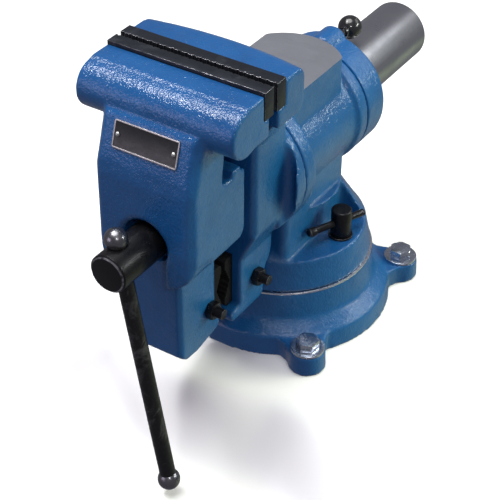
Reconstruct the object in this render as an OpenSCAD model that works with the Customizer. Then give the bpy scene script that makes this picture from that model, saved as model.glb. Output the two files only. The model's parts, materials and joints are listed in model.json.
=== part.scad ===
// Multi-purpose bench vise: round slide tube, head that turns about the slide, swivel base.
// Millimetres. X right, Y toward the rear, Z up. Bench face at z = 0, swivel axis on the Z axis.

/* [Layout] */
// Height of the slide and spindle axis above the bench
axis_h = 186; // [150:1:230]
// Gap between the gripping faces as drawn
jaw_gap = 5.3; // [0.3:0.1:6]

/* [Jaws] */
// Width of the jaws
jaw_w = 152.4; // [100:0.1:200]
// Top of the jaw inserts above the slide axis
jaw_top = 137; // [100:1:170]
// Height of a jaw insert
insert_h = 25.5; // [18:0.5:35]
// Thickness of a jaw insert
insert_t = 12.65; // [8:0.05:18]
// Pitch of the serrations on the gripping faces
tooth_pitch = 7; // [3:0.5:10]
// Width of the jaw columns
column_w = 98; // [80:1:120]
// Width of the front pipe-jaw leg
front_leg_w = 56; // [40:1:80]
// Width of the rear pipe-jaw leg
rear_leg_w = 70; // [50:1:90]
// Width of the pipe jaws
pipe_jaw_w = 52; // [30:1:56]
// Thickness of the pipe jaws outside their seats
pipe_jaw_t = 12; // [8:0.5:16]

/* [Slide] */
// Outer radius of the slide tube
tube_r = 30.5; // [25:0.5:36]
// Wall thickness of the slide tube
tube_wall = 6; // [4:0.5:9]
// Rear end of the slide tube
tube_end = 220; // [180:1:260]
// Outer radius of the turning shank
shank_r = 41; // [38:0.5:46]
// Running clearance on radius
fit = 0.06; // [0.02:0.01:0.1]

/* [Body] */
// Radius of the barrel
barrel_r = 53; // [48:0.5:60]
// Radius of the front collar and flange
collar_r = 66; // [60:0.5:72]
// Radius of the rear flange and ring
ring_r = 57.5; // [54:0.5:64]
// Top of the anvil above the slide axis
anvil_top = 69; // [60:1:80]
// Half width of the anvil
anvil_hw = 40; // [30:1:50]
// Radius of the index hole circle
index_r = 49.5; // [47:0.5:52]
// Number of index holes
index_count = 12; // [4:2:24]

/* [Base] */
// Radius of the base flange at the bench
base_r = 106.4; // [90:0.2:130]
// Radius of the mounting bolt circle
bolt_circle_r = 120.5; // [110:0.5:140]
// Angle of the first lug from the X axis
lug_angle = -46.5; // [-90:0.5:90]
// Radius of the mounting bolt shank
mount_bolt_r = 6.35; // [5:0.05:8]

/* [Spindle] */
// Radius of the spindle head
head_r = 17.5; // [14:0.5:22]
// Radius of the handle bar
bar_r = 7.2; // [5:0.1:9]
// Radius of the handle balls
ball_r = 10; // [8:0.5:14]
// Lean of the handle from the vertical
handle_tilt = 10.3; // [0:0.1:45]

/* [Hidden] */
$fn = 64;
ah = axis_h;
hw = jaw_w/2;
cw = column_w/2;
lf = front_leg_w/2;
lr = rear_leg_w/2;
grip_f = -138.35 - jaw_gap;
grip_r = -138.35;
seat_f = grip_f - insert_t;
seat_r = grip_r + insert_t;
ins_z0 = ah + jaw_top - insert_h;
ledge_z = ah + jaw_top - 3;
front_y = -219.5;
leg_y = -208;
plate_y = -209.75;
plate_z = 92.5;
plate_lean = atan(8.5/27);
bar_y = -180.3;
handle_y = -248.8;
handle_up = 22.6;
handle_len = 247.6;
lock_x = 63.7;
bar_dir = 23.6;
leg_f = grip_f - pipe_jaw_t;
leg_r = grip_r + pipe_jaw_t;
bolt_f = leg_f - 9;
bolt_r = leg_r + 24;
bolt_z = ah - 92;

// ---------- shape helpers ----------
module ycyl(r, y0, y1, x = 0, z = ah) {
  translate([x, y0, z]) rotate([-90, 0, 0]) cylinder(r = r, h = y1 - y0);
}
module ycone(ra, rb, y0, y1, x = 0, z = ah) {
  translate([x, y0, z]) rotate([-90, 0, 0]) cylinder(r1 = ra, r2 = rb, h = y1 - y0);
}
module xcyl(r, x0, x1, y, z) {
  translate([x0, y, z]) rotate([0, 90, 0]) cylinder(r = r, h = x1 - x0);
}
module zcyl(r, z0, z1, x = 0, y = 0) {
  translate([x, y, z0]) cylinder(r = r, h = z1 - z0);
}
module box(x0, x1, y0, y1, z0, z1) {
  translate([x0, y0, z0]) cube([x1 - x0, y1 - y0, z1 - z0]);
}
// 2D outline given as (y, z about the slide axis), extruded along X
module yz(x0, x1) {
  translate([x0, 0, ah]) rotate([90, 0, 90]) linear_extrude(height = x1 - x0) children();
}
// 2D outline given as (x, z about the slide axis), extruded along Y
module xz(y0, y1) {
  translate([0, y1, ah]) rotate([90, 0, 0]) linear_extrude(height = y1 - y0) children();
}
module xy(z0, z1) {
  translate([0, 0, z0]) linear_extrude(height = z1 - z0) children();
}
module hexp(af, h) { cylinder(r = af/sqrt(3), h = h, $fn = 6); }

// ---------- base ----------
module lugs() {
  for (k = [0:3]) rotate([0, 0, lug_angle + 90*k]) {
    translate([bolt_circle_r, 0, 0]) cylinder(r1 = 17.5, r2 = 16.6, h = 20);
    linear_extrude(height = 20)
      polygon([[60, -42], [92, -31], [104, -22.5], [112, -18.4], [121, -16.6],
               [121, 16.6], [112, 18.4], [104, 22.5], [92, 31], [60, 42]]);
  }
}

module base_plate() color([0.12, 0.33, 0.62]) difference() {
  union() {
    rotate_extrude($fn = 96)
      polygon([[0, 0], [base_r, 0], [base_r - 2.4, 19], [base_r - 4.4, 20.8],
               [91.5, 29], [89.6, 32], [86.6, 56.4], [0, 56.4]]);
    lugs();
  }
  // round T-slot
  rotate_extrude($fn = 96) {
    polygon([[58, 46], [69.4, 46], [69.4, 58], [58, 58]]);
    polygon([[50, 30], [77, 30], [77, 46.01], [50, 46.01]]);
  }
  // relief under the casting
  rotate_extrude($fn = 96) polygon([[0, -1], [92, -1], [90, 16], [0, 16]]);
  zcyl(24, -1, 19.5);
  zcyl(12 + fit, 10, 58);
  for (k = [0:3]) rotate([0, 0, lug_angle + 90*k])
    zcyl(mount_bolt_r + 0.6, -1, 21, bolt_circle_r, 0);
}

module swivel_ring() color([0.75, 0.76, 0.78]) difference() {
  zcyl(86.9, 56.4, 58.2, $fn = 96);
  zcyl(78, 56, 59, $fn = 96);
}

module mounting_bolts() color([0.8, 0.81, 0.83])
  for (k = [0:3]) rotate([0, 0, lug_angle + 90*k]) translate([bolt_circle_r, 0, 0]) {
    intersection() {
      translate([0, 0, 22.5]) rotate([0, 0, 12]) hexp(19, 8);
      translate([0, 0, 22.5]) cylinder(r1 = 19, r2 = 8.6, h = 9.4);
    }
    translate([0, 0, -28]) cylinder(r = mount_bolt_r, h = 28);
    translate([0, 0, -1]) cylinder(r = mount_bolt_r - 0.05, h = 24);
    translate([0, 0, -30]) cylinder(r1 = mount_bolt_r - 1.5, r2 = mount_bolt_r, h = 2);
  }

module mounting_washers() color([0.78, 0.79, 0.82])
  for (k = [0:3]) rotate([0, 0, lug_angle + 90*k]) translate([bolt_circle_r, 0, 20])
    difference() {
      cylinder(r = 16, h = 2.5);
      translate([0, 0, -1]) cylinder(r = mount_bolt_r + 0.4, h = 5);
    }

// ---------- swivel body ----------
module lock_pocket() {
  intersection() {
    union() {
      zcyl(36, 88, 160, lock_x, 0);
      box(43, 100, -90, 0, 88, 160);
    }
    box(44, 110, -95, 60, 88, 126);
  }
}

module anvil_plan() {
  intersection() {
    translate([-anvil_hw, -69.7]) square([2*anvil_hw, 130]);
    translate([0, 48.6 - 52.3]) union() {
      circle(r = 52.3, $fn = 96);
      translate([-60, -80]) square([120, 80]);
    }
  }
}

module swivel_body() color([0.12, 0.33, 0.62]) difference() {
  union() {
    // disc with a rounded upper edge, and the flared foot of the pedestal
    rotate_extrude($fn = 96) difference() {
      polygon([[0, 58.5], [85.8, 58.5], [79.6, 88], [77.4, 90.5], [57, 122], [53, 128], [0, 128]]);
      translate([-1, 50]) square([1, 90]);
    }
    // pedestal
    xy(80, ah - 20) {
      translate([-44, -58]) square([88, 88]);
      translate([-36, -66]) square([72, 104]);
      for (sx = [-1, 1]) {
        translate([sx*36, -58]) circle(r = 8);
        translate([sx*36, 30]) circle(r = 8);
      }
    }
    zcyl(12, 19.2, 60);
    // barrel with collar and rear flange
    ycyl(barrel_r, -60, 45, $fn = 96);
    ycyl(collar_r, -69.7, -54, $fn = 96);
    ycone(collar_r, barrel_r + 7, -54, -50, $fn = 96);
    ycone(barrel_r + 5, barrel_r, -50.5, -46, $fn = 96);
    ycone(barrel_r, ring_r - 1, 36, 40, $fn = 96);
    ycyl(ring_r, 40, 54.2, $fn = 96);
    // anvil
    translate([0, 0, ah]) linear_extrude(height = anvil_top) anvil_plan();
  }
  lock_pocket();
  mirror([1, 0, 0]) lock_pocket();
  // bore for the turning shank
  ycyl(shank_r + fit, -80, 60, $fn = 96);
  // index holes in the rear flange
  for (k = [0:index_count - 1]) rotate_y(k*360/index_count)
    ycyl(4 + fit, 42, 56, 0, ah + index_r);
  // lock bolt holes and the pivot thread
  for (sx = [-1, 1]) zcyl(5.4, 50, 100, sx*lock_x, 0);
  zcyl(5, 10, 54);
}

module rotate_y(a) {
  translate([0, 0, ah]) rotate([0, a, 0]) translate([0, 0, -ah]) children();
}

module pivot_bolt() color([0.3, 0.3, 0.32]) {
  translate([0, 0, 9]) hexp(16, 7);
  zcyl(5, 15, 52);
}

module pivot_washer() color([0.55, 0.56, 0.58]) difference() {
  zcyl(20, 16, 19.2);
  zcyl(5.2, 15, 20.2);
}

module lock_bolt() {
  intersection() {
    zcyl(11, 36, 44.5, lock_x, 0);
    box(lock_x - 9, lock_x + 9, -12, 12, 36, 44.5);
  }
  zcyl(5, 44, 97, lock_x, 0);
}
module right_lock_bolt() color([0.35, 0.35, 0.37]) lock_bolt();
module left_lock_bolt() color([0.35, 0.35, 0.37]) mirror([1, 0, 0]) lock_bolt();

module lock_washers() color([0.4, 0.4, 0.42]) for (sx = [-1, 1]) difference() {
  zcyl(11.5, 88, 90, sx*lock_x, 0);
  zcyl(5.4, 87, 91, sx*lock_x, 0);
}

module lock_nut() translate([lock_x, 0, 0]) difference() {
  union() {
    zcyl(9.7, 91.2, 116.6);
    translate([0, 0, 90.3]) cylinder(r1 = 8.8, r2 = 9.7, h = 0.9);
    translate([0, 0, 116.6]) cylinder(r1 = 9.7, r2 = 8.8, h = 0.9);
  }
  zcyl(5 + fit, 89, 98);
  translate([0, 0, 104]) rotate([0, 0, -bar_dir]) rotate([90, 0, 0])
    translate([0, 0, -30]) cylinder(r = 3.4 + fit, h = 60);
}
module right_lock_nut() color([0.13, 0.13, 0.14]) lock_nut();
module left_lock_nut() color([0.13, 0.13, 0.14]) mirror([1, 0, 0]) lock_nut();

module lock_bar() translate([lock_x, 0, 104]) rotate([0, 0, -bar_dir]) rotate([90, 0, 0]) {
  translate([0, 0, -22.4]) cylinder(r = 3.4, h = 51.4);
  translate([0, 0, -23.6]) cylinder(r = 2.5, h = 1.4);
  translate([0, 0, -26.4]) cylinder(r1 = 2.6, r2 = 3.4, h = 0.8);
  translate([0, 0, -25.6]) cylinder(r = 3.4, h = 2.2);
  translate([0, 0, 28.8]) cylinder(r = 2.7, h = 1.6);
  translate([0, 0, 30.2]) cylinder(r = 4.4, h = 6);
  translate([0, 0, 36.2]) cylinder(r1 = 4.4, r2 = 3.2, h = 1.2);
}
module right_lock_bar() color([0.13, 0.13, 0.14]) lock_bar();
module left_lock_bar() color([0.13, 0.13, 0.14]) mirror([1, 0, 0]) lock_bar();

// ---------- rotating head ----------
module jaw_block() {
  intersection() {
    translate([0, -453, ah]) rotate_extrude($fn = 180) {
      translate([300, 93]) square([54, ledge_z - ah - 93]);
      translate([300, 103]) square([65, ledge_z - ah - 114]);
      translate([354, ledge_z - ah - 11]) circle(r = 11);
      translate([355, 103]) circle(r = 10);
    }
    box(-hw, hw, -136, -70, ah + 80, ledge_z);
  }
}

module static_jaw() color([0.12, 0.33, 0.62]) difference() {
  union() {
    jaw_block();
    // column
    xy(ah - 32, ah + 68) polygon([[-cw, -122], [-cw + 4.5, -126.5], [cw - 4.5, -126.5],
      [cw, -122], [cw, -78], [-cw, -78]]);
    xy(ah + 60, ah + 100) polygon([[-cw, -122], [-cw + 4.5, -126.5], [cw - 4.5, -126.5],
      [cw, -122], [cw, -90], [-cw, -90]]);
    // hollow blend from the column to the round flange
    intersection() {
      xy(ah - 66, ah + 66) difference() {
        translate([-70, -85.5]) square([140, 7.5]);
        for (sx = [-1, 1]) translate([sx*(cw + 7), -85.5]) circle(r = 7);
      }
      ycyl(collar_r, -100, -77, $fn = 96);
    }
    ycyl(collar_r, -78.5, -70, $fn = 96);
    // gussets under the jaw block
    xz(-122, -90) polygon([[-cw, 60], [-cw - 12, 82], [-hw + 6, 94], [hw - 6, 94],
      [cw + 12, 82], [cw, 60]]);
    // taper from the column to the leg
    xz(leg_r, -78) polygon([[-cw, -31.9], [cw, -31.9], [lr, -62], [-lr, -62]]);
    // leg for the rear pipe jaw, cut away behind to turn past the swivel disc
    yz(-lr, lr) polygon([[leg_r, -50], [leg_r, -111], [-137, -112], [-140, -115],
      [-140, -120], [-137, -123], [-91, -123], [-88, -120], [-84.5, -93], [-77, -84],
      [-74.5, -76], [-74.5, -50]]);
    // shank
    ycyl(shank_r, -80, 85.4, $fn = 96);
  }
  ycyl(tube_r + fit, -130, 90, $fn = 96);
  // seat of the jaw insert
  box(-hw - 1, hw + 1, -140, seat_r, ins_z0, ah + jaw_top + 2);
  for (sx = [-1, 1]) ycyl(4, -130, -100, sx*38, ins_z0 + insert_h/2);
  // slot and cross hole for the pipe jaw
  box(-11.05, 11.05, -128, leg_r + 33, ah - 108, ah - 58);
  xcyl(4.85, -40, 40, bolt_r, bolt_z);
  // pocket for the spindle nut key
  box(-6, 6, -115, -87, ah - 38, ah);
  box(-9, 9, -127, -118, ah - 46, ah - 28);
  box(-6, 6, -119, -114, ah - 38, ah);
  ycyl(3, -120, -100, 0, ah - 39.5);
}

module rear_ring() color([0.12, 0.33, 0.62]) difference() {
  union() {
    ycyl(ring_r, 54.6, 83, $fn = 96);
    ycone(ring_r, ring_r - 2.4, 83, 85.4, $fn = 96);
    ycyl(14, 60, 84, 0, ah + index_r + 1);
    ycone(12, 14, 57, 60, 0, ah + index_r + 1);
    ycone(14, 12.4, 84, 85.6, 0, ah + index_r + 1);
    ycyl(6.5, 85, 92, 0, ah + index_r);
  }
  ycyl(shank_r, 50, 90, $fn = 96);
  ycyl(4 + fit, 50, 95, 0, ah + index_r);
  for (sx = [-1, 1]) rotate_y(sx*130) zcyl(4, ah + 38, ah + 60, 0, 70);
}

module ring_set_screws() color([0.2, 0.2, 0.21])
  for (sx = [-1, 1]) rotate_y(sx*130) difference() {
    zcyl(4, ah + 41, ah + 54, 0, 70);
    translate([0, 70, ah + 50]) hexp(4, 6);
  }

module tooth_cuts(y, s) {
  n = floor(jaw_w/tooth_pitch);
  for (i = [0:n]) translate([-hw + (jaw_w - n*tooth_pitch)/2 + i*tooth_pitch, y, ins_z0 - 1])
    linear_extrude(height = insert_h + 2)
      polygon([[-1.3, -s*0.1], [0, s*1.2], [1.3, -s*0.1]]);
}

module insert_body(y0, face, s) difference() {
  box(-hw, hw, y0, y0 + insert_t, ins_z0, ah + jaw_top);
  tooth_cuts(face, s);
  for (sx = [-1, 1]) {
    ycyl(4.2, y0 - 1, y0 + insert_t + 1, sx*38, ins_z0 + insert_h/2);
    ycyl(7.2, s > 0 ? face - 1 : face - 7, s > 0 ? face + 7 : face + 1, sx*38,
         ins_z0 + insert_h/2);
  }
}
module rear_jaw_insert() color([0.16, 0.16, 0.17]) insert_body(grip_r, grip_r, 1);
module front_jaw_insert() color([0.16, 0.16, 0.17]) insert_body(seat_f, grip_f, -1);

module rear_insert_screws() color([0.2, 0.2, 0.21])
  for (sx = [-1, 1]) difference() {
    union() {
      ycyl(6.6, grip_r + 2, grip_r + 7, sx*38, ins_z0 + insert_h/2);
      ycyl(4, grip_r + 6, -102, sx*38, ins_z0 + insert_h/2);
    }
    translate([sx*38, grip_r + 5, ins_z0 + insert_h/2]) rotate([90, 0, 0]) hexp(6, 6);
  }
module front_insert_screws() color([0.2, 0.2, 0.21])
  for (sx = [-1, 1]) difference() {
    union() {
      ycyl(6.6, grip_f - 7, grip_f - 2, sx*38, ins_z0 + insert_h/2);
      ycyl(4, -178, grip_f - 6, sx*38, ins_z0 + insert_h/2);
    }
    translate([sx*38, grip_f + 1, ins_z0 + insert_h/2]) rotate([90, 0, 0]) hexp(6, 6);
  }

// pipe jaw outline: back face at 0, gripping face at pipe_jaw_t with a toothed V notch
function notch_pts(n) = [for (i = [0:2*n]) let (t = i/(2*n))
  [pipe_jaw_t - 8*(1 - abs(2*t - 1)) + (i % 2)*0.8, -65 - 36*t]];
module pipe_jaw_outline() polygon(concat([[0, -57], [pipe_jaw_t - 3, -57], [pipe_jaw_t, -60]],
  notch_pts(9), [[pipe_jaw_t, -106], [pipe_jaw_t - 3, -109], [0, -109]]));

module rear_pipe_jaw() color([0.07, 0.07, 0.08]) difference() {
  union() {
    yz(-pipe_jaw_w/2, pipe_jaw_w/2) translate([leg_r, 0]) mirror([1, 0]) pipe_jaw_outline();
    box(-11, 11, leg_r - 1, leg_r + 32, ah - 106, ah - 60);
  }
  xcyl(4.85, -40, 40, bolt_r, bolt_z);
}
module front_pipe_jaw() color([0.07, 0.07, 0.08]) difference() {
  union() {
    yz(-pipe_jaw_w/2, pipe_jaw_w/2) translate([leg_f, 0]) pipe_jaw_outline();
    box(-11, 11, leg_f - 23, leg_f + 1, ah - 106, ah - 60);
  }
  xcyl(4.85, -40, 40, bolt_f, bolt_z);
}

module cross_bolt(y, w) {
  xcyl(4.8, -w - 1, w + 15, y, bolt_z);
  translate([-w - 6.5, y, bolt_z]) rotate([0, 90, 0]) hexp(15, 6.5);
}
module cross_nut(y, w) difference() {
  translate([w, y, bolt_z]) rotate([0, 90, 0]) rotate([0, 0, 18]) intersection() {
    hexp(15, 6.6);
    cylinder(r1 = 9.8, r2 = 8, h = 6.6);
  }
  xcyl(4.8, w - 1, w + 10, y, bolt_z);
}
module rear_pipe_jaw_bolt() color([0.1, 0.1, 0.11]) cross_bolt(bolt_r, lr);
module rear_pipe_jaw_nut() color([0.1, 0.1, 0.11]) cross_nut(bolt_r, lr);
module front_pipe_jaw_bolt() color([0.1, 0.1, 0.11]) cross_bolt(bolt_f, lf);
module front_pipe_jaw_nut() color([0.1, 0.1, 0.11]) cross_nut(bolt_f, lf);

module spindle_nut() color([0.6, 0.5, 0.3]) difference() {
  union() {
    ycyl(22, -114, -88);
    box(-5.95, 5.95, -114, -88, ah - 37.5, ah - 12);
    box(-5.95, 5.95, -119, -113, ah - 37.5, ah - 31.5);
    box(-8.95, 8.95, -126.3, -118, ah - 45.5, ah - 31.5);
  }
  ycyl(11 + fit, -120, -80);
  ycyl(3, -130, -101, 0, ah - 39.5);
  box(-5.9, 5.9, -130, -118, ah - 31.5, ah - 20);
}
module spindle_nut_screw() color([0.2, 0.2, 0.21]) difference() {
  union() {
    ycyl(3, -128, -102, 0, ah - 39.5);
    ycyl(5, -131, -126.3, 0, ah - 39.5);
  }
  translate([0, -128.5, ah - 39.5]) rotate([90, 0, 0]) hexp(5, 4);
}

module index_pin() color([0.6, 0.6, 0.62]) {
  ycone(2.8, 4, 44, 46, 0, ah + index_r);
  ycyl(4, 46, 95, 0, ah + index_r);
  ycyl(3, 94, 112, 0, ah + index_r);
}
module index_knob() color([0.06, 0.06, 0.07]) difference() {
  union() {
    translate([0, 114.7, ah + index_r]) sphere(r = 11.4);
    ycyl(5, 101.5, 106, 0, ah + index_r);
  }
  ycyl(3, 90, 112, 0, ah + index_r);
}

// ---------- moving jaw ----------
module front_profile() {
  // column, shoulder and cheek seen from the side
  polygon([[-190, 112], [-200.4, 110.5], [-203, 108.2], [-205.5, 106], [-214, 79], [-216.6, 69],
    [-218.2, 56], [-219.2, 20], [front_y, -7], [-150, -17], [-146, -10], [-150, 50],
    [-171.5, 50], [-174.3, 54], [-169.5, 92], [-174, 110]]);
  translate([-170, -7]) square([28.5, 57]);
  translate([-190, -17]) square([38.5, 60]);
  translate([-160, -17]) square([12.5, 73]);
  translate([-147.5, 44]) circle(r = 6);
  translate([-151.5, -7]) circle(r = 10);
}

// plan of the column with its bevelled front edges, front face at y = 0
module column_plan() {
  polygon([[-cw, 7.3], [-cw + 6.5, 0], [cw - 6.5, 0], [cw, 7.3], [cw, 160], [-cw, 160]]);
}
module column_bounds() intersection() {
  xy(ah - 60, ah + 130) translate([0, front_y]) column_plan();
  translate([0, plate_y, ah + plate_z]) rotate([-plate_lean, 0, 0])
    translate([0, 0, -170]) linear_extrude(height = 210) column_plan();
}

module front_jaw() color([0.12, 0.33, 0.62]) difference() {
  union() {
    // jaw bar: flat rear part and round front
    box(-hw, hw, -179, seat_f, ah + 93, ledge_z);
    xcyl(21, -hw, hw, bar_y, ah + 111.6);
    box(-hw, hw, -160, -148.6, ah + 93, ins_z0);
    // column and cheek
    intersection() {
      yz(-cw, cw) front_profile();
      column_bounds();
    }
    // lower edge of the column
    intersection() {
      xz(front_y + 0.2, -165) polygon([[-cw, -6.9], [cw, -6.9], [cw - 2, -17], [cw - 7, -25],
        [cw - 14, -31], [cw - 24, -36], [24 - cw, -36], [14 - cw, -31], [7 - cw, -25],
        [2 - cw, -17]]);
      column_bounds();
    }
    // tube socket
    ycyl(38, -200, -144, $fn = 96);
    // leg for the front pipe jaw
    xy(ah - 119, ah - 10) polygon([[-lf, leg_y + 4], [-lf + 4, leg_y], [lf - 4, leg_y],
      [lf, leg_y + 4], [lf, leg_f], [-lf, leg_f]]);
    yz(-lf, lf) polygon([[-206, -112], [-206, -121], [-199, -126], [-184, -127],
      [-152, -121], [-149, -118], [-149, -113], [-151, -111], [-170, -111]]);
  }
  // seat of the jaw insert
  box(-hw - 1, hw + 1, seat_f, -130, ins_z0, ah + jaw_top + 2);
  for (sx = [-1, 1]) ycyl(4, -180, -150, sx*38, ins_z0 + insert_h/2);
  // bore for the slide tube and spindle hole
  ycyl(tube_r + 0.05, -189, -140, $fn = 96);
  ycyl(11 + fit, -230, -180);
  // counterbore round the spindle with a flared lip, open below as a channel
  ycyl(21.5, -230, -200);
  ycone(26.5, 21.5, front_y - 0.6, front_y + 4);
  xz(-230, leg_y) polygon([[-21.5, 0], [21.5, 0], [22.5, -60], [-22.5, -60]]);
  // slot and cross hole for the pipe jaw
  box(-11.05, 11.05, leg_f - 24, -150, ah - 108, ah - 58);
  xcyl(4.85, -40, 40, bolt_f, bolt_z);
  // holes for the pins beside the tube
  for (sx = [-1, 1]) zcyl(3, ah - 45, ah + 10, sx*32, -176);
}

module slide_tube() color([0.72, 0.72, 0.7]) difference() {
  union() {
    ycyl(tube_r, -189, tube_end - 3, $fn = 96);
    ycone(tube_r, tube_r - 3, tube_end - 3, tube_end, $fn = 96);
  }
  ycyl(tube_r - tube_wall, -190, tube_end + 1, $fn = 96);
  box(-6.4, 6.4, -122, 64, ah - 40, ah - 10);
  for (sx = [-1, 1]) zcyl(3, ah - 45, ah + 10, sx*32, -176);
}

// pins driven up beside the tube, half in the casting and half in a notch in the tube
module tube_pins() color([0.35, 0.35, 0.36])
  for (sx = [-1, 1]) zcyl(3, ah - 30, ah + 10, sx*32, -176);

module tube_end_cap() color([0.3, 0.3, 0.31]) difference() {
  ycyl(tube_r - tube_wall, tube_end - 12, tube_end - 2, $fn = 96);
  ycyl(tube_r - tube_wall - 4, tube_end - 5, tube_end, $fn = 96);
}

// places a child, drawn about the centre of the plate with its back at y = 0, on the column
module on_plate() translate([0, plate_y, ah + plate_z]) rotate([-plate_lean, 0, 0]) children();

module name_plate() color([0.7, 0.7, 0.68]) on_plate() rotate([90, 0, 0])
  linear_extrude(height = 1.2) {
    translate([-29.5, -12]) square([59, 24]);
    translate([-31.5, -10]) square([63, 20]);
    for (sx = [-29.5, 29.5], sz = [-10, 10]) translate([sx, sz]) circle(r = 2);
  }

module name_plate_rivets() color([0.75, 0.75, 0.74]) on_plate()
  for (sx = [-1, 1]) intersection() {
    translate([sx*27, -0.4, 0]) sphere(r = 2.4);
    translate([-40, -6, -10]) cube([80, 4.8, 20]);
  }

module thrust_washer() color([0.5, 0.5, 0.52]) difference() {
  ycyl(19, -202.8, -200);
  ycyl(11.4, -205, -195);
}

// ---------- spindle and handle ----------
module spindle() color([0.13, 0.13, 0.14]) difference() {
  union() {
    ycone(head_r - 2.4, head_r, -268, -265.8);
    ycyl(head_r, -265.8, -206);
    ycone(head_r, head_r - 3, -206, -203.1);
    ycyl(11, -204, 73);
    ycone(11, 9, 73, 75);
  }
  translate([0, handle_y, ah]) rotate([0, -handle_tilt, 0])
    translate([0, 0, -30]) {
      cylinder(r = bar_r + 0.05, h = 60);
      for (sz = [30 - handle_up, 30 + handle_up]) translate([0, 0, sz]) sphere(r = ball_r + 0.1);
    }
  xcyl(2.5, -20, 20, -183.5, ah);
}
module spindle_collar() color([0.35, 0.35, 0.37]) difference() {
  ycyl(18, -188.7, -178.5);
  ycyl(11, -190, -170);
  xcyl(2.5, -20, 20, -183.5, ah);
}
module collar_pin() color([0.45, 0.45, 0.47]) xcyl(2.5, -17.6, 17.6, -183.5, ah);

module on_handle() translate([0, handle_y, ah]) rotate([0, -handle_tilt, 0]) children();
module handle_bar() color([0.13, 0.13, 0.14]) on_handle()
  translate([0, 0, handle_up - handle_len + 3]) cylinder(r = bar_r, h = handle_len - 6);
module handle_ball_upper() color([0.16, 0.16, 0.17]) on_handle() difference() {
  translate([0, 0, handle_up]) sphere(r = ball_r);
  translate([0, 0, handle_up - 20]) cylinder(r = bar_r, h = 17);
}
module handle_ball_lower() color([0.16, 0.16, 0.17]) on_handle() difference() {
  translate([0, 0, handle_up - handle_len]) sphere(r = ball_r);
  translate([0, 0, handle_up - handle_len + 3]) cylinder(r = bar_r, h = 17);
}

base_plate();
swivel_ring();
mounting_bolts();
mounting_washers();
swivel_body();
pivot_bolt();
pivot_washer();
right_lock_bolt();
left_lock_bolt();
lock_washers();
right_lock_nut();
left_lock_nut();
right_lock_bar();
left_lock_bar();
static_jaw();
rear_ring();
ring_set_screws();
rear_jaw_insert();
rear_insert_screws();
rear_pipe_jaw();
rear_pipe_jaw_bolt();
rear_pipe_jaw_nut();
spindle_nut();
spindle_nut_screw();
index_pin();
index_knob();
front_jaw();
slide_tube();
tube_pins();
tube_end_cap();
front_jaw_insert();
front_insert_screws();
front_pipe_jaw();
front_pipe_jaw_bolt();
front_pipe_jaw_nut();
name_plate();
name_plate_rivets();
thrust_washer();
spindle();
spindle_collar();
collar_pin();
handle_bar();
handle_ball_upper();
handle_ball_lower();
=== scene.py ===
"""Looks for the rotating-head bench vise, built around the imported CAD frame.

Castings are remeshed and softened like sand castings, and the anvil is then machined flat. Hardware
gets its edges broken. Every piece has a procedural material.
"""
import json
import math

import bmesh
import bpy
import numpy as np
from mathutils import Matrix, Vector, noise


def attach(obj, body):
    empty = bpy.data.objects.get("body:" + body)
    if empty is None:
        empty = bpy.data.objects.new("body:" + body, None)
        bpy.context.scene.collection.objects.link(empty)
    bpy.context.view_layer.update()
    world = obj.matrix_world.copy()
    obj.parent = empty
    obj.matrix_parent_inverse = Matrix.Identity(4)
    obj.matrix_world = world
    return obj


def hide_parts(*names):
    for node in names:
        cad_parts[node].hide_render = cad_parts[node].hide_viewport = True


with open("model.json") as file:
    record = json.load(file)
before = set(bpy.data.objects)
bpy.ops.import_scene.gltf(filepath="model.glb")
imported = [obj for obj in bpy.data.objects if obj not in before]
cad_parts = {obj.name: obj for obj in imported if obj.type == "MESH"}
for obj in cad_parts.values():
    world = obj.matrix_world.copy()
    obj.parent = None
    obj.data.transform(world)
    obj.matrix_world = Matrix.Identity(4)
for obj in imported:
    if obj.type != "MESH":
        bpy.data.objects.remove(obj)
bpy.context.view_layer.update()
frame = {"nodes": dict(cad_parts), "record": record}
nodes = frame["nodes"]

MM = 0.001
AXIS_Z = 186 * MM             # height of the head's axis above the bench face
WELD = 2e-6                   # split vertices nearer than this are one
FLAT = math.radians(0.4)      # faces this close to one plane are merged
HARD_EDGE = math.radians(32)  # hardware edges sharper than this are broken
CAST_EDGE = math.radians(38)  # shading breaks at cast edges sharper than this

# ---------------------------------------------------------------- camera
CAM_PLACE = (0.60184, -0.99804, 0.91787)
CAM_UP = (-0.331477, 0.500696, 0.799642)
CAM_FORWARD = (-0.430877, 0.673668, -0.600430)
cam_data = bpy.data.cameras.new("camera")
cam_data.sensor_width = 36.0
cam_data.lens = 107.93
cam_data.clip_start = 0.05
cam_data.clip_end = 50.0
camera = bpy.data.objects.new("camera", cam_data)
bpy.context.collection.objects.link(camera)
forward = Vector(CAM_FORWARD).normalized()
right = forward.cross(Vector(CAM_UP)).normalized()
up = right.cross(forward)
camera.matrix_world = Matrix((
    (right.x, up.x, -forward.x, CAM_PLACE[0]),
    (right.y, up.y, -forward.y, CAM_PLACE[1]),
    (right.z, up.z, -forward.z, CAM_PLACE[2]),
    (0, 0, 0, 1)))
bpy.context.scene.camera = camera


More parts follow.
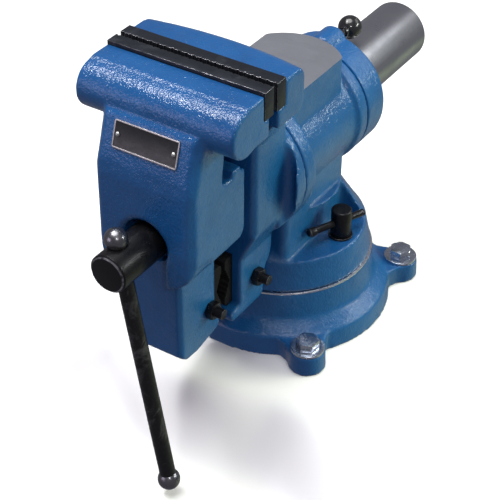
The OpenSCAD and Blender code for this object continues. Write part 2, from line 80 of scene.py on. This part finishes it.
# ---------------------------------------------------------------- materials
class Shader:
    """A Principled material and short ways to build the nodes that feed it."""

    def __init__(self, name, rough=0.4, metal=0.0, **fixed):
        self.mat = bpy.data.materials.new(name)
        self.mat.use_nodes = True
        self.tree = self.mat.node_tree
        self.bsdf = self.tree.nodes["Principled BSDF"]
        self.bsdf.inputs["Roughness"].default_value = rough
        self.bsdf.inputs["Metallic"].default_value = metal
        for key, value in fixed.items():
            self.bsdf.inputs[key.replace("_", " ")].default_value = value
        self.coord = self.tree.nodes.new("ShaderNodeTexCoord").outputs["Object"]
        self.normal = None

    def link(self, a, b):
        self.tree.links.new(a, b)

    def stretched(self, scale):
        m = self.tree.nodes.new("ShaderNodeMapping")
        m.inputs["Scale"].default_value = scale
        self.link(self.coord, m.inputs["Vector"])
        return m.outputs["Vector"]

    def noise(self, scale, detail=3.0, rough=0.5, distortion=0.0, vector=None):
        n = self.tree.nodes.new("ShaderNodeTexNoise")
        n.inputs["Scale"].default_value = scale
        n.inputs["Detail"].default_value = detail
        n.inputs["Roughness"].default_value = rough
        n.inputs["Distortion"].default_value = distortion
        self.link(vector or self.coord, n.inputs["Vector"])
        return n.outputs["Fac"]

    def cells(self, scale):
        n = self.tree.nodes.new("ShaderNodeTexVoronoi")
        n.inputs["Scale"].default_value = scale
        self.link(self.coord, n.inputs["Vector"])
        return n.outputs["Distance"]

    def remap(self, value, lo, hi, out_lo, out_hi):
        n = self.tree.nodes.new("ShaderNodeMapRange")
        for key, v in (("From Min", lo), ("From Max", hi), ("To Min", out_lo), ("To Max", out_hi)):
            n.inputs[key].default_value = v
        self.link(value, n.inputs["Value"])
        return n.outputs["Result"]

    def math(self, op, a, b):
        n = self.tree.nodes.new("ShaderNodeMath")
        n.operation = op
        for slot, v in zip(n.inputs, (a, b)):
            if isinstance(v, (int, float)):
                slot.default_value = v
            else:
                self.link(v, slot)
        return n.outputs["Value"]

    def mix(self, fac, a, b):
        n = self.tree.nodes.new("ShaderNodeMix")
        n.data_type = "RGBA"
        self.link(fac, n.inputs["Factor"])
        for slot, v in ((n.inputs[6], a), (n.inputs[7], b)):
            if isinstance(v, tuple):
                slot.default_value = (*v, 1)
            else:
                self.link(v, slot)
        return n.outputs[2]

    def color(self, socket):
        self.link(socket, self.bsdf.inputs["Base Color"])

    def rough(self, socket):
        self.link(socket, self.bsdf.inputs["Roughness"])

    def bump(self, height, strength, distance, coat_only=False):
        n = self.tree.nodes.new("ShaderNodeBump")
        n.inputs["Strength"].default_value = strength
        n.inputs["Distance"].default_value = distance
        self.link(height, n.inputs["Height"])
        if self.normal:
            self.link(self.normal, n.inputs["Normal"])
        self.normal = n.outputs["Normal"]
        self.link(self.normal, self.bsdf.inputs["Coat Normal" if coat_only else "Normal"])


def enamel():
    """Thick glossy enamel over a rough casting: orange peel, thin spots and a few pits."""
    s = Shader("blue_cast_enamel", Coat_Weight=0.8, Coat_Roughness=0.035, Coat_IOR=1.5,
               Specular_IOR_Level=0.15)
    tone = s.noise(14, 4, 0.6)
    color = s.mix(s.remap(tone, 0.32, 0.7, 0, 1), (0.0055, 0.062, 0.200), (0.0085, 0.086, 0.260))
    film = s.remap(s.noise(130, 3, 0.6), 0.60, 0.8, 0, 0.4)
    color = s.mix(film, color, (0.005, 0.040, 0.150))
    specks = s.remap(s.noise(900, 2, 0.5), 0.70, 0.78, 0, 0.75)
    s.color(s.mix(specks, color, (0.004, 0.012, 0.035)))
    s.rough(s.remap(s.noise(60, 4, 0.6), 0.3, 0.7, 0.26, 0.42))
    s.bump(s.noise(70, 2, 0.5), 0.7, 0.0011)
    s.bump(s.noise(420, 2, 0.6), 0.6, 0.0006)
    pits = s.remap(s.cells(95), 0.04, 0.10, -1, 0)
    s.bump(s.math("MULTIPLY", pits, s.remap(s.noise(33, 1, 0.5), 0.58, 0.64, 0, 1)), 0.6, 0.0005)
    s.bump(s.noise(520, 1, 0.5), 1.0, 0.0007, coat_only=True)
    return s.mat


def machined(name, base, dark, stretch, rough=(0.28, 0.42), lines=1.0):
    """Turned, ground or milled steel: fine lines along the tool's path, faint stains."""
    s = Shader(name, metal=1.0)
    path = s.stretched(stretch)
    grain = s.noise(1, 3, 0.65, vector=path)
    stain = s.remap(s.noise(24, 5, 0.65), 0.42, 0.75, 0, 1)
    both = s.math("ADD", s.math("MULTIPLY", grain, 0.6), s.math("MULTIPLY", stain, 0.45))
    s.color(s.mix(both, base, dark))
    s.rough(s.remap(s.math("ADD", grain, s.math("MULTIPLY", stain, 0.4)), 0.25, 0.95, *rough))
    s.bump(grain, 0.35 * lines, 0.00006)
    return s.mat


def dark_steel(name, base, worn, wear=0.35, rough=(0.34, 0.55), metal=0.85, fine=900, bump=0.25):
    """Black oxide or hardened steel with handling wear."""
    s = Shader(name, metal=metal)
    rub = s.remap(s.noise(38, 5, 0.7, 0.6), 0.55, 0.78, 0, wear)
    grit = s.remap(s.noise(520, 3, 0.6), 0.3, 0.7, -0.06, 0.06)
    s.color(s.mix(s.math("ADD", rub, grit), base, worn))
    s.rough(s.remap(s.noise(150, 4, 0.65), 0.3, 0.7, *rough))
    s.bump(s.noise(fine, 3, 0.6), bump, 0.00008)
    return s.mat


def black_paint_and_shade():
    s = Shader("pipe_jaw_black", metal=0.0, Specular_IOR_Level=0.25)
    tone = s.noise(90, 4, 0.6)
    # near-black, darker than any paint: black paint with painted shade, the shade of the gap between
    # the pipe jaws
    s.color(s.mix(s.remap(tone, 0.35, 0.7, 0, 1), (0.0022, 0.0022, 0.0025), (0.006, 0.006, 0.0065)))
    s.rough(s.remap(tone, 0.3, 0.7, 0.55, 0.75))
    s.bump(s.noise(480, 3, 0.6), 0.5, 0.00015)
    return s.mat


def knob_plastic():
    s = Shader("black_gloss_knob", Coat_Weight=0.4, Coat_Roughness=0.04)
    tone = s.noise(160, 4, 0.6)
    s.color(s.mix(s.remap(tone, 0.3, 0.7, 0, 1), (0.006, 0.006, 0.007), (0.014, 0.014, 0.016)))
    s.rough(s.remap(tone, 0.3, 0.7, 0.16, 0.28))
    s.bump(s.noise(600, 2, 0.5), 0.15, 0.00006)
    return s.mat


def worn_edge():
    """Bright steel where handling has rubbed the black off an edge, with dark left in the low spots."""
    s = Shader("worn_edge", metal=1.0)
    rub = s.remap(s.noise(210, 5, 0.75, 0.4), 0.40, 0.60, 0, 1)
    s.color(s.mix(rub, (0.035, 0.036, 0.042), (0.34, 0.34, 0.36)))
    s.rough(s.remap(rub, 0, 1, 0.5, 0.30))
    s.bump(s.noise(700, 3, 0.6), 0.3, 0.00008)
    return s.mat


ENAMEL = enamel()
ANVIL = machined("machined_anvil", (0.40, 0.41, 0.45), (0.24, 0.25, 0.28), (60, 1400, 60),
                 (0.42, 0.58), 0.7)
TUBE = machined("ground_tube", (0.52, 0.53, 0.56), (0.27, 0.28, 0.30), (40, 2200, 40),
                (0.24, 0.40), 0.8)
RING = machined("bare_ring", (0.80, 0.80, 0.82), (0.50, 0.52, 0.58), (90, 90, 2600), (0.2, 0.34))
STEEL = machined("plain_steel", (0.40, 0.40, 0.42), (0.22, 0.22, 0.24), (260, 260, 260), (0.3, 0.46))
ZINC = dark_steel("zinc_plate", (0.52, 0.56, 0.64), (0.30, 0.33, 0.40), 0.6,
                  (0.16, 0.32), 1.0, 420, 0.3)
OXIDE = dark_steel("black_oxide", (0.010, 0.010, 0.012), (0.060, 0.060, 0.068), 0.6,
                   (0.24, 0.44), 0.6)
POLISHED = dark_steel("dark_ball", (0.17, 0.17, 0.185), (0.34, 0.34, 0.37), 0.6,
                      (0.22, 0.36), 0.95, 700, 0.35)
INSERT = dark_steel("hardened_insert", (0.020, 0.023, 0.032), (0.075, 0.080, 0.098), 0.7,
                    (0.36, 0.52), 0.7, 600, 0.45)
PIPE_BLACK_AND_SHADE = black_paint_and_shade()
BRONZE = machined("nut_bronze", (0.62, 0.44, 0.20), (0.36, 0.25, 0.12), (200, 900, 200), (0.3, 0.45))
KNOB = knob_plastic()
PLATE = machined("plate_metal", (0.60, 0.60, 0.58), (0.36, 0.36, 0.35), (900, 60, 60), (0.28, 0.42))
SOCKET = dark_steel("socket_screw", (0.03, 0.03, 0.033), (0.12, 0.12, 0.13), 0.4,
                    (0.3, 0.5), 0.85)
WORN = worn_edge()
FIELD = dark_steel("plate_field", (0.016, 0.017, 0.020), (0.045, 0.046, 0.050), 0.5,
                   (0.30, 0.46), 0.1, 900, 0.3)
HANDLE = dark_steel("handle_steel", (0.015, 0.015, 0.017), (0.16, 0.16, 0.17), 0.8,
                    (0.26, 0.46), 0.65)


# ---------------------------------------------------------------- mesh work
def new_object(name, mesh):
    obj = bpy.data.objects.new(name, mesh)
    bpy.context.collection.objects.link(obj)
    return obj


def welded(node):
    """A bmesh of the CAD node with its split vertices joined."""
    bm = bmesh.new()
    bm.from_mesh(nodes[node].data)
    bmesh.ops.remove_doubles(bm, verts=bm.verts, dist=WELD)
    return bm


def applied(obj):
    """Bakes the object's modifiers into its mesh."""
    graph = bpy.context.evaluated_depsgraph_get()
    mesh = bpy.data.meshes.new_from_object(obj.evaluated_get(graph))
    old = obj.data
    obj.modifiers.clear()
    obj.data = mesh
    bpy.data.meshes.remove(old)


def stand_for(obj, node, material):
    """Puts the finished piece in the CAD node's place: hides the node, joins the node's body, and takes
    the material if it has none yet.
    """
    if not obj.data.materials:
        obj.data.materials.append(material)
    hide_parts(node)
    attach(obj, body_of_node[node])


def cutter_box(lo, hi):
    bm = bmesh.new()
    bmesh.ops.create_cube(bm, size=1.0)
    for v in bm.verts:
        v.co = Vector(lo[i] + (v.co[i] + 0.5) * (hi[i] - lo[i]) for i in range(3))
    mesh = bpy.data.meshes.new("cutter")
    bm.to_mesh(mesh)
    bm.free()
    return new_object("cutter", mesh)


WAVE = 0.17 * MM         # height of the waves that sand leaves on a cast face
WAVE_SCALE = 85          # waves per metre
RIPPLE_SCALE = 260       # finer waves per metre
RIPPLE_SHARE = 0.35
KEPT_TRIANGLES = 0.55


def casting(node, voxel, soften, stock=None, cut=None):
    """A sand casting. Stock is left on a face to be machined, edges soften, then the cut is made crisp.

    voxel is the remesh size in mm and soften the number of smoothing passes."""
    bm = welded(node)
    if stock:
        for v in bm.verts:
            stock(v)
    mesh = bpy.data.meshes.new(node + "_cast")
    bm.to_mesh(mesh)
    bm.free()
    obj = new_object(node + "_cast", mesh)
    remesh = obj.modifiers.new("remesh", "REMESH")
    remesh.mode = "VOXEL"
    remesh.voxel_size = voxel * MM
    remesh.use_smooth_shade = True
    smooth = obj.modifiers.new("smooth", "SMOOTH")
    smooth.factor = 0.5
    smooth.iterations = soften
    applied(obj)
    count = len(obj.data.vertices)
    co = np.empty(count * 3, dtype=np.float32)
    no = np.empty(count * 3, dtype=np.float32)
    obj.data.vertices.foreach_get("co", co)
    obj.data.vertex_normals.foreach_get("vector", no)
    co = co.reshape(-1, 3)
    no = no.reshape(-1, 3)
    lift = np.array([noise.noise(Vector(p) * WAVE_SCALE)
                     + RIPPLE_SHARE * noise.noise(Vector(p) * RIPPLE_SCALE) for p in co.tolist()])
    co += no * (lift * WAVE)[:, None].astype(np.float32)
    obj.data.vertices.foreach_set("co", co.ravel())
    obj.data.materials.append(ENAMEL)
    thin = obj.modifiers.new("thin", "DECIMATE")
    thin.ratio = KEPT_TRIANGLES
    applied(obj)
    if cut:
        tool, material = cut
        obj.data.materials.append(material)
        tool.data.materials.append(ENAMEL)
        tool.data.materials.append(material)
        for p in tool.data.polygons:
            p.material_index = 1
        b = obj.modifiers.new("machine", "BOOLEAN")
        b.operation = "DIFFERENCE"
        b.solver = "EXACT"
        b.object = tool
        applied(obj)
        bpy.data.objects.remove(tool)
    for p in obj.data.polygons:
        p.use_smooth = True
    obj.data.set_sharp_from_angle(angle=CAST_EDGE)
    stand_for(obj, node, ENAMEL)


def hardware(node, material, edge, edge_material=None, worn=None, shape=None):
    """A turned or forged piece with its sharp edges broken. The breaks and worn faces may be bright.

    edge is the width of the break in mm, and shape may add detail to the mesh first."""
    bm = welded(node)
    bmesh.ops.dissolve_limit(bm, angle_limit=FLAT, verts=bm.verts, edges=bm.edges)
    if shape:
        shape(bm)
    sharp = [e for e in bm.edges if e.is_manifold and e.calc_face_angle(0) > HARD_EDGE]
    if edge and sharp:
        bmesh.ops.bevel(bm, geom=sharp, offset=edge * MM, offset_type="OFFSET", segments=2, profile=0.5,
                        affect="EDGES", clamp_overlap=True,
                        material=1 if edge_material and not shape else -1)
    bmesh.ops.triangulate(bm, faces=[f for f in bm.faces if len(f.verts) > 4])
    for f in bm.faces:
        f.smooth = True
        if worn and worn(f.calc_center_median(), f.normal):
            f.material_index = 1
    mesh = bpy.data.meshes.new(node + "_finished")
    bm.to_mesh(mesh)
    bm.free()
    mesh.materials.append(material)
    if edge_material:
        mesh.materials.append(edge_material)
    mesh.set_sharp_from_angle(angle=HARD_EDGE)
    stand_for(new_object(node + "_finished", mesh), node, material)


body_of_node = {n: b for b, members in frame["record"]["behaviour"]["bodies"].items() for n in members}

# ---------------------------------------------------------------- castings
ANVIL_TOP = AXIS_Z + 69 * MM
ANVIL_STOCK = 3 * MM     # left on the top of the anvil for the milling cut


def anvil_stock(v):
    if abs(v.co.z - ANVIL_TOP) < 0.2 * MM:
        v.co.z += ANVIL_STOCK


casting("static_jaw", 1.6, 8)
casting("front_jaw", 1.6, 8)
casting("swivel_body", 1.6, 8, anvil_stock,
        (cutter_box((-0.06, -0.09, ANVIL_TOP), (0.06, 0.07, ANVIL_TOP + 0.012)), ANVIL))
casting("base_plate", 1.6, 7)
casting("rear_ring", 1.2, 6)

# ---------------------------------------------------------------- hardware
SPINDLE_FRONT = -267.2 * MM
PLATE_RIM = 1.5 * MM
FIELD_WALL = 0.12 * MM
FIELD_DEPTH = 0.45 * MM


def spindle_rim(centre, normal):
    """The edge round the front of the spindle head, rubbed bright."""
    return centre.y < SPINDLE_FRONT and normal.y > -0.95


def plate_panel(bm):
    """A sunk field inside the plain rim of the name plate."""
    front = max(bm.faces, key=lambda f: -f.normal.y * f.calc_area())
    bmesh.ops.inset_region(bm, faces=[front], thickness=PLATE_RIM, depth=0)
    wall = bmesh.ops.inset_region(bm, faces=[front], thickness=FIELD_WALL, depth=-FIELD_DEPTH)
    for f in [front] + wall["faces"]:
        f.material_index = 1


# node: material, edge break in mm, second material, worn faces, extra shaping
FINISH = {
    "swivel_ring": (RING, 0.2), "mounting_bolts": (ZINC, 0.5), "mounting_washers": (ZINC, 0.35),
    "pivot_bolt": (SOCKET, 0.4), "pivot_washer": (STEEL, 0.3),
    "right_lock_bolt": (STEEL, 0.3), "left_lock_bolt": (STEEL, 0.3), "lock_washers": (OXIDE, 0.3, WORN),
    "right_lock_nut": (OXIDE, 0.4, WORN), "left_lock_nut": (OXIDE, 0.4, WORN),
    "right_lock_bar": (OXIDE, 0.25, WORN), "left_lock_bar": (OXIDE, 0.25, WORN),
    "ring_set_screws": (SOCKET, 0.25), "rear_jaw_insert": (INSERT, 0.35, WORN),
    "front_jaw_insert": (INSERT, 0.35, WORN),
    "rear_insert_screws": (SOCKET, 0.25), "front_insert_screws": (SOCKET, 0.25),
    "rear_pipe_jaw": (PIPE_BLACK_AND_SHADE, 0.3), "front_pipe_jaw": (PIPE_BLACK_AND_SHADE, 0.3),
    "rear_pipe_jaw_bolt": (OXIDE, 0.3, WORN), "front_pipe_jaw_bolt": (OXIDE, 0.3, WORN),
    "rear_pipe_jaw_nut": (OXIDE, 0.4, WORN), "front_pipe_jaw_nut": (OXIDE, 0.4, WORN),
    "spindle_nut": (BRONZE, 0.5), "spindle_nut_screw": (SOCKET, 0.25), "index_pin": (STEEL, 0.3),
    "index_knob": (KNOB, 0.4), "slide_tube": (TUBE, 0.3), "tube_pins": (STEEL, 0.2),
    "tube_end_cap": (OXIDE, 0.3),
    "name_plate": (PLATE, 0.2, FIELD, None, plate_panel), "name_plate_rivets": (PLATE, 0.0),
    "thrust_washer": (OXIDE, 0.3), "spindle": (OXIDE, 0.3, WORN, spindle_rim),
    "spindle_collar": (STEEL, 0.4), "collar_pin": (STEEL, 0.2), "handle_bar": (HANDLE, 0.0),
    "handle_ball_upper": (POLISHED, 0.0), "handle_ball_lower": (POLISHED, 0.0),
}
for node, finish in FINISH.items():
    hardware(node, *finish)

# ---------------------------------------------------------------- stage
FLOOR_Z = -0.052       # the floor beyond the rise, just under the hanging handle
SHEET_GAP = 0.0002     # the sheet lies this far under the base
PLINTH_R = 0.150       # the rise is level out to here
PLINTH_FOOT = 0.226    # where it meets the floor below the handle
GENTLE = 0.6           # how much further out it meets the floor elsewhere
SWEEP_SIDES = 96
SWEEP_STEPS = 24
SWEEP_FAR = (1.3, 2.5, 5.0, 14.0)
PAPER = Shader("pale_paper", rough=0.85, Specular_IOR_Level=0.1)
PAPER.color(PAPER.mix(PAPER.noise(3, 3, 0.5), (0.90, 0.90, 0.90), (0.94, 0.94, 0.94)))


def sweep():
    """One smooth pale sheet: a low rise under the base, steep below the handle and gentle all round."""
    bm = bmesh.new()
    centre = bm.verts.new((0, 0, -SHEET_GAP))
    columns = []
    for k in range(SWEEP_SIDES):
        a = math.tau * k / SWEEP_SIDES
        toward_handle = min(max((-math.sin(a) - 0.45) / 0.45, 0), 1)
        foot = PLINTH_FOOT + GENTLE * (1 - toward_handle * toward_handle * (3 - 2 * toward_handle))
        column = []
        for i in range(SWEEP_STEPS + 1):
            t = i / SWEEP_STEPS
            r = PLINTH_R + (foot - PLINTH_R) * t
            z = FLOOR_Z * t * t * t * (t * (6 * t - 15) + 10)
            column.append(bm.verts.new((r * math.cos(a), r * math.sin(a), z - SHEET_GAP)))
        column += [bm.verts.new((r * math.cos(a), r * math.sin(a), FLOOR_Z - SHEET_GAP))
                   for r in SWEEP_FAR]
        columns.append(column)
    for k, column in enumerate(columns):
        after = columns[(k + 1) % SWEEP_SIDES]
        bm.faces.new((centre, column[0], after[0]))
        for i in range(len(column) - 1):
            bm.faces.new((column[i], column[i + 1], after[i + 1], after[i]))
    for f in bm.faces:
        f.smooth = True
    bmesh.ops.recalc_face_normals(bm, faces=bm.faces)
    mesh = bpy.data.meshes.new("paper_sweep")
    bm.to_mesh(mesh)
    bm.free()
    mesh.materials.append(PAPER.mat)
    obj = new_object("paper_sweep", mesh)
    # the pale sheet is seen and takes shadows, but throws no light back up at the vise
    obj.visible_diffuse = False
    obj.visible_glossy = False


sweep()


# ---------------------------------------------------------------- light
def area(name, place, target, size, power, color=(1, 1, 1), glossy=True):
    data = bpy.data.lights.new(name, "AREA")
    data.shape = "RECTANGLE"
    data.size, data.size_y = size
    data.energy = power
    data.color = color
    obj = bpy.data.objects.new(name, data)
    obj.location = place
    obj.visible_glossy = glossy
    obj.rotation_euler = (Vector(target) - Vector(place)).to_track_quat("-Z", "Y").to_euler()
    bpy.context.collection.objects.link(obj)


def sun(name, direction, strength, angle):
    data = bpy.data.lights.new(name, "SUN")
    data.energy = strength
    data.angle = math.radians(angle)
    obj = bpy.data.objects.new(name, data)
    obj.rotation_euler = Vector(direction).to_track_quat("-Z", "Y").to_euler()
    bpy.context.collection.objects.link(obj)


def card(name, place, size, color, strength):
    """A glowing card that only shows as a reflection, the way a studio reflector does."""
    s = Shader(name)
    s.bsdf.inputs["Base Color"].default_value = (0, 0, 0, 1)
    s.bsdf.inputs["Emission Color"].default_value = (*color, 1)
    s.bsdf.inputs["Emission Strength"].default_value = strength
    bm = bmesh.new()
    bmesh.ops.create_grid(bm, x_segments=1, y_segments=1, size=0.5)
    mesh = bpy.data.meshes.new(name)
    bm.to_mesh(mesh)
    bm.free()
    mesh.materials.append(s.mat)
    obj = new_object(name, mesh)
    obj.scale = (*size, 1)
    obj.location = place
    for ray in ("camera", "diffuse", "transmission", "volume_scatter", "shadow"):
        setattr(obj, "visible_" + ray, False)


sun("overhead", (0.12, 0.06, -1.0), 2.8, 44)
area("top_glint", (-0.62, -0.28, 1.60), (0, -0.12, 0.25), (0.9, 0.10), 11)
area("front_glint", (1.05, -1.10, 1.35), (0, -0.1, 0.2), (0.12, 0.12), 5.5)
area("rear_glint", (1.25, 0.75, 0.80), (0, 0.05, 0.2), (0.7, 0.12), 8, (0.95, 1.0, 0.95))
area("front_soft", (-0.9, -1.7, 0.6), (0, -0.1, 0.15), (0.9, 0.7), 4.4, (1.0, 0.84, 1.0))
area("back_soft", (1.05, 1.65, 1.50), (0, 0.05, 0.2), (1.5, 0.9), 8)
area("right_fill", (1.35, 0.65, 0.38), (0, 0, 0.15), (1.0, 0.8), 20, (0.94, 1.0, 0.55), False)
card("right_card", (1.6, 1.6, -1.2), (2.4, 2.8), (0.88, 1.0, 0.72), 0.48)

world = bpy.data.worlds.new("studio")
bpy.context.scene.world = world
world.use_nodes = True
background = world.node_tree.nodes["Background"]
background.inputs["Color"].default_value = (0.68, 0.68, 0.77, 1)
background.inputs["Strength"].default_value = 0.29
bpy.context.scene.view_settings.view_transform = "Standard"
